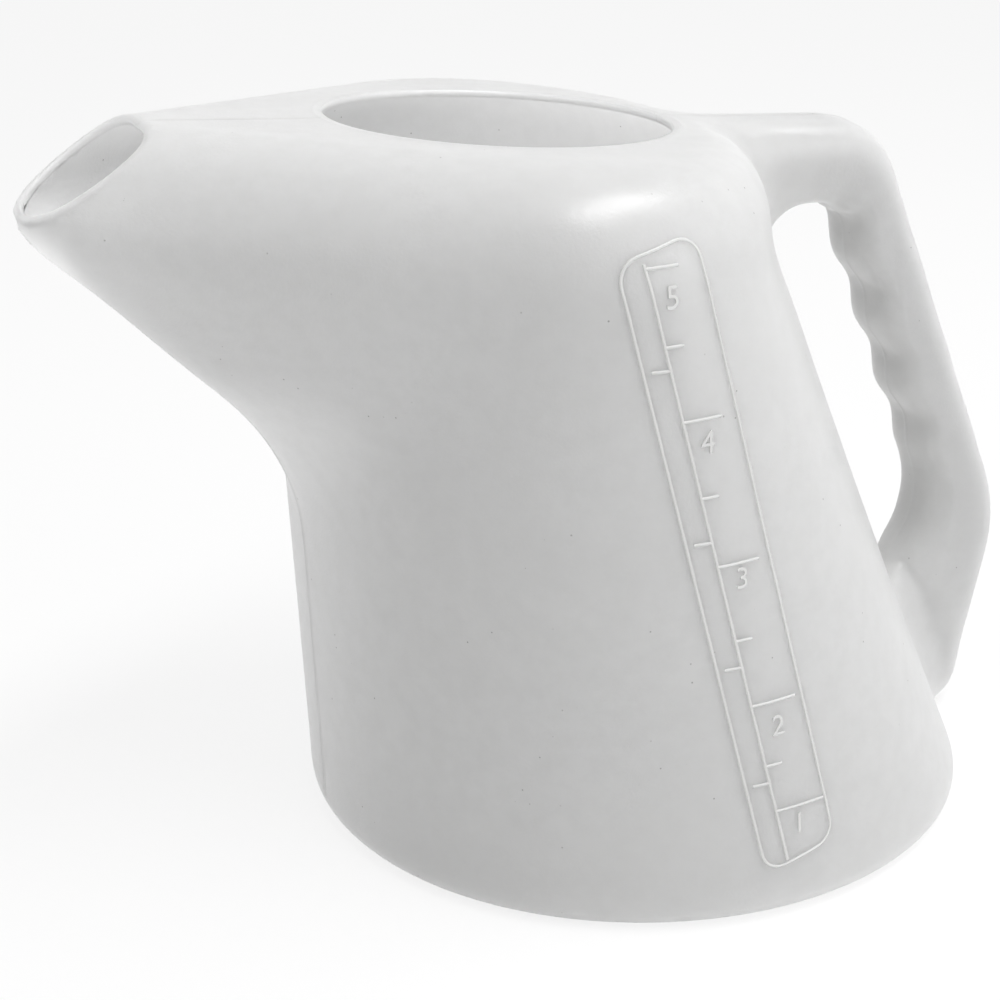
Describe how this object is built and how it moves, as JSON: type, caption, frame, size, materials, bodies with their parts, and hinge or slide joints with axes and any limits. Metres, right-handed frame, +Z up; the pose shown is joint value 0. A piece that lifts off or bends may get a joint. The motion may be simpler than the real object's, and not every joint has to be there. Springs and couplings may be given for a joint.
{
  "type": "measuring jug",
  "caption": "One-piece blow-moulded measuring jug in translucent natural plastic, with a long covered pouring spout, a round filling mouth, a hollow grip handle and a raised scale.",
  "frame": {"origin": "middle of the foot ring, on the surface that the jug stands on", "axes": "+Z up, -X towards the spout, +X towards the handle, +Y away from the side that carries the scale; the XZ plane is the parting plane"},
  "size_m": [0.3011, 0.2058, 0.2174],
  "materials": {
    "shell": "natural milky translucent polyethylene, satin"
  },
  "bodies": {
    "root": {"jug": "shell"}
  },
  "joints": []
}
